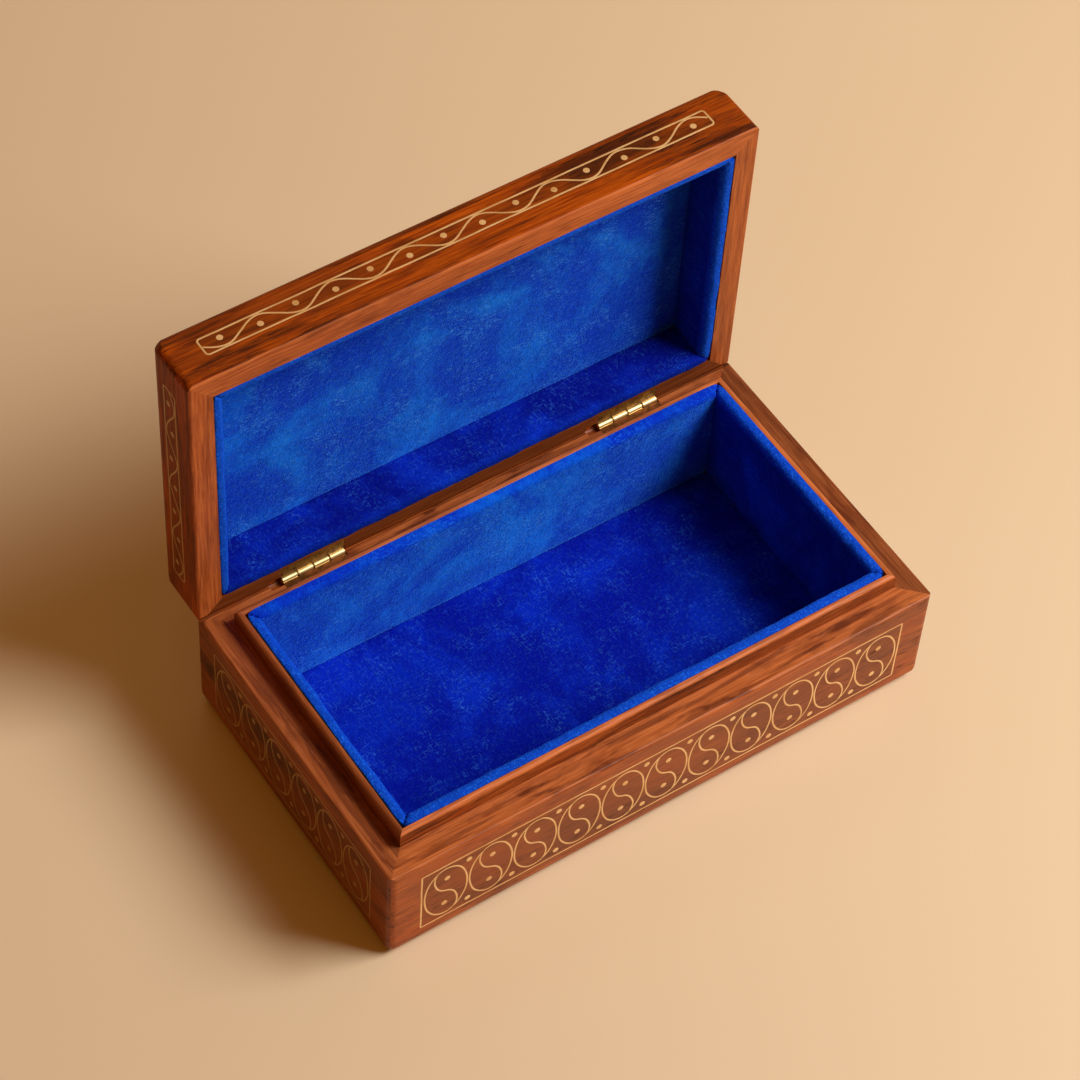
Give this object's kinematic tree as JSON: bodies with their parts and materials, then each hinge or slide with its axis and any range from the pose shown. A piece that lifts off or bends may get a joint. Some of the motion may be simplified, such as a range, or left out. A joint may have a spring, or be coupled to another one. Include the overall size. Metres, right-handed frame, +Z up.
{
  "type": "inlaid wooden box",
  "caption": "Rectangular rosewood trinket box with brass wire inlay, velvet lining, a raised inner lip and a hinged lid standing open.",
  "frame": {"origin": "centre of the underside, on the surface that the box stands on", "axes": "+X along the length to the right, +Y from the front to the hinged back, +Z up"},
  "size_m": [0.18, 0.1204, 0.1384],
  "materials": {
    "rosewood": "rubbed oil and wax, satin, with dark streaks along the grain",
    "lip_wood": "the same rosewood, satin",
    "blue_velvet": "royal blue cotton velvet, short pile",
    "inlay_brass": "drawn wire and pins hammered in and rubbed flush",
    "hinge_brass": "polished sheet brass"
  },
  "bodies": {
    "base": {"base_bottom_board": "rosewood", "base_front_board": "rosewood", "base_back_board": "rosewood", "base_left_board": "rosewood", "base_right_board": "rosewood", "lip_front": "lip_wood", "lip_back": "lip_wood", "lip_left": "lip_wood", "lip_right": "lip_wood", "base_floor_lining": "blue_velvet", "base_front_lining": "blue_velvet", "base_back_lining": "blue_velvet", "base_left_lining": "blue_velvet", "base_right_lining": "blue_velvet", "base_front_border": "inlay_brass", "base_front_scrolls": "inlay_brass", "base_front_pins": "inlay_brass", "base_back_border": "inlay_brass", "base_back_scrolls": "inlay_brass", "base_back_pins": "inlay_brass", "base_left_border": "inlay_brass", "base_left_scrolls": "inlay_brass", "base_left_pins": "inlay_brass", "base_right_border": "inlay_brass", "base_right_scrolls": "inlay_brass", "base_right_pins": "inlay_brass", "base_leaf_left": "hinge_brass", "base_leaf_right": "hinge_brass", "hinge_pin_left": "hinge_brass", "hinge_pin_right": "hinge_brass", "base_leaf_nails": "hinge_brass"},
    "lid": {"lid_top_board": "rosewood", "lid_front_board": "rosewood", "lid_back_board": "rosewood", "lid_left_board": "rosewood", "lid_right_board": "rosewood", "lid_ceiling_lining": "blue_velvet", "lid_front_lining": "blue_velvet", "lid_back_lining": "blue_velvet", "lid_left_lining": "blue_velvet", "lid_right_lining": "blue_velvet", "lid_front_border": "inlay_brass", "lid_front_vine": "inlay_brass", "lid_front_pins": "inlay_brass", "lid_back_border": "inlay_brass", "lid_back_vine": "inlay_brass", "lid_back_pins": "inlay_brass", "lid_left_border": "inlay_brass", "lid_left_vine": "inlay_brass", "lid_left_pins": "inlay_brass", "lid_right_border": "inlay_brass", "lid_right_vine": "inlay_brass", "lid_right_pins": "inlay_brass", "lid_top_border": "inlay_brass", "lid_top_scrolls": "inlay_brass", "lid_top_pins": "inlay_brass", "lid_leaf_left": "hinge_brass", "lid_leaf_right": "hinge_brass", "lid_leaf_nails": "hinge_brass"}
  },
  "joints": [
    {"name": "lid_hinge", "type": "hinge", "parent": "base", "child": "lid", "pos_m": [0, 0.0488, 0.0386], "axis": [1, 0, 0], "range_deg": [0, 90]}
  ]
}
